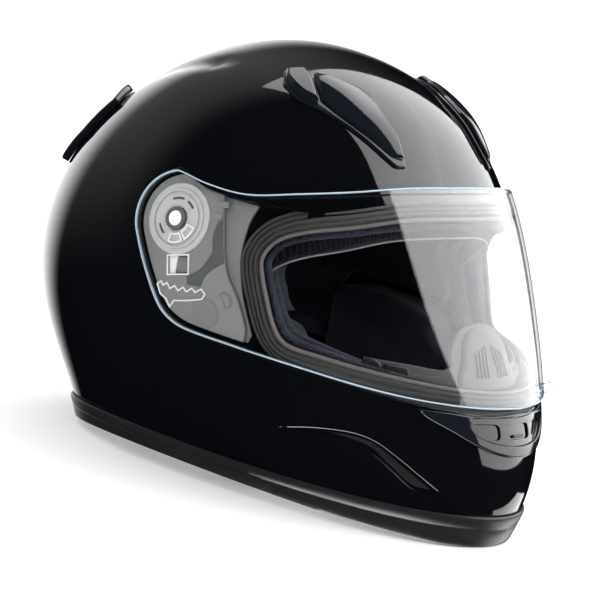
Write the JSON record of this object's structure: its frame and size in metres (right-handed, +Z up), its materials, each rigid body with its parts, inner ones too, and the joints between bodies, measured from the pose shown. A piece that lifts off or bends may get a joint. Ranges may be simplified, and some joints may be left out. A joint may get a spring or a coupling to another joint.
{
  "type": "motorcycle helmet",
  "caption": "Full-face motorcycle helmet with a lifting clear visor, adjustable forehead and chin vents, padded lining, breath guard and a double-ring chin strap.",
  "frame": {"origin": "under the middle of the helmet's box, on the flat surface that the rim stands on", "axes": "+Z up to the crown, -Y the way the wearer faces, -X the wearer's right; the helmet is symmetric left to right apart from the visor tab and the strap"},
  "size_m": [0.2632, 0.3416, 0.2537],
  "materials": {
    "gloss_shell": "gloss black lacquer",
    "gloss_vent": "gloss black moulded plastic",
    "visor_clear": "clear hard-coated polycarbonate",
    "plate_plastic": "satin grey plastic",
    "trim_plastic": "satin black plastic",
    "guard_plastic": "matt dark grey flexible plastic",
    "seal_rubber": "matt ribbed rubber",
    "foam_liner": "expanded polystyrene, black",
    "lining_fabric": "navy knitted mesh fabric",
    "neck_fabric": "grey synthetic leather and knit",
    "strap_webbing": "black woven webbing",
    "fastener_steel": "plated steel"
  },
  "bodies": {
    "shell": {"outer_shell": "gloss_shell", "eyeport_gasket": "seal_rubber", "bottom_trim": "trim_plastic", "visor_base_plate_right": "plate_plastic", "visor_base_plate_left": "plate_plastic", "visor_hub_right": "plate_plastic", "visor_hub_left": "plate_plastic", "visor_detent_rack_right": "plate_plastic", "visor_detent_rack_left": "plate_plastic", "plate_screw_right": "plate_plastic", "plate_screw_left": "plate_plastic", "forehead_vent_base_right": "gloss_vent", "forehead_vent_base_left": "gloss_vent", "rear_vent_right": "gloss_vent", "rear_vent_left": "gloss_vent", "chin_vent_cover": "gloss_vent", "side_vent_insert_right": "trim_plastic", "side_vent_insert_left": "trim_plastic", "impact_liner": "foam_liner", "chin_liner": "foam_liner", "crown_pad": "lining_fabric", "cheek_pad_right": "lining_fabric", "cheek_pad_left": "lining_fabric", "neck_roll": "neck_fabric", "breath_guard": "guard_plastic", "strap_anchor_right": "fastener_steel", "strap_anchor_left": "fastener_steel", "chin_strap_short": "strap_webbing", "chin_strap_long": "strap_webbing"},
    "visor": {"visor": "visor_clear"},
    "release_lever_right": {"visor_release_lever_right": "plate_plastic"},
    "release_lever_left": {"visor_release_lever_left": "plate_plastic"},
    "vent_slider_right": {"forehead_vent_slider_right": "gloss_vent"},
    "vent_slider_left": {"forehead_vent_slider_left": "gloss_vent"},
    "chin_shutter": {"chin_vent_shutter": "trim_plastic"},
    "d_rings": {"d_ring_outer": "fastener_steel", "d_ring_inner": "fastener_steel"}
  },
  "joints": [
    {"name": "visor_hinge", "type": "hinge", "parent": "shell", "child": "visor", "pos_m": [0, 0.00692, 0.151], "axis": [-1, 0, 0], "range_deg": [0, 52]},
    {"name": "release_lever_slide_right", "type": "slide", "parent": "shell", "child": "release_lever_right", "axis": [0, 0, -1], "range_m": [0, 0.003], "stiffness_N_per_m": 800},
    {"name": "release_lever_slide_left", "type": "slide", "parent": "shell", "child": "release_lever_left", "axis": [0, 0, -1], "range_m": [0, 0.003], "stiffness_N_per_m": 800},
    {"name": "forehead_vent_right_slide", "type": "hinge", "parent": "shell", "child": "vent_slider_right", "pos_m": [-0.0549, -0.00138, 0.1271], "axis": [0.9702, 0.2258, 0.0875], "range_deg": [0, 2.2]},
    {"name": "forehead_vent_left_slide", "type": "hinge", "parent": "shell", "child": "vent_slider_left", "pos_m": [0.0549, -0.00138, 0.1271], "axis": [0.9702, -0.2258, -0.0875], "range_deg": [0, 2.2]},
    {"name": "chin_vent_slide", "type": "slide", "parent": "shell", "child": "chin_shutter", "axis": [0, 0.3804, 0.9248], "range_m": [0, 0.0045]},
    {"name": "strap_rings_hinge", "type": "hinge", "parent": "shell", "child": "d_rings", "pos_m": [-0.051, -0.02709, 0.028], "axis": [0, 0, 1], "range_deg": [0, 50]}
  ]
}
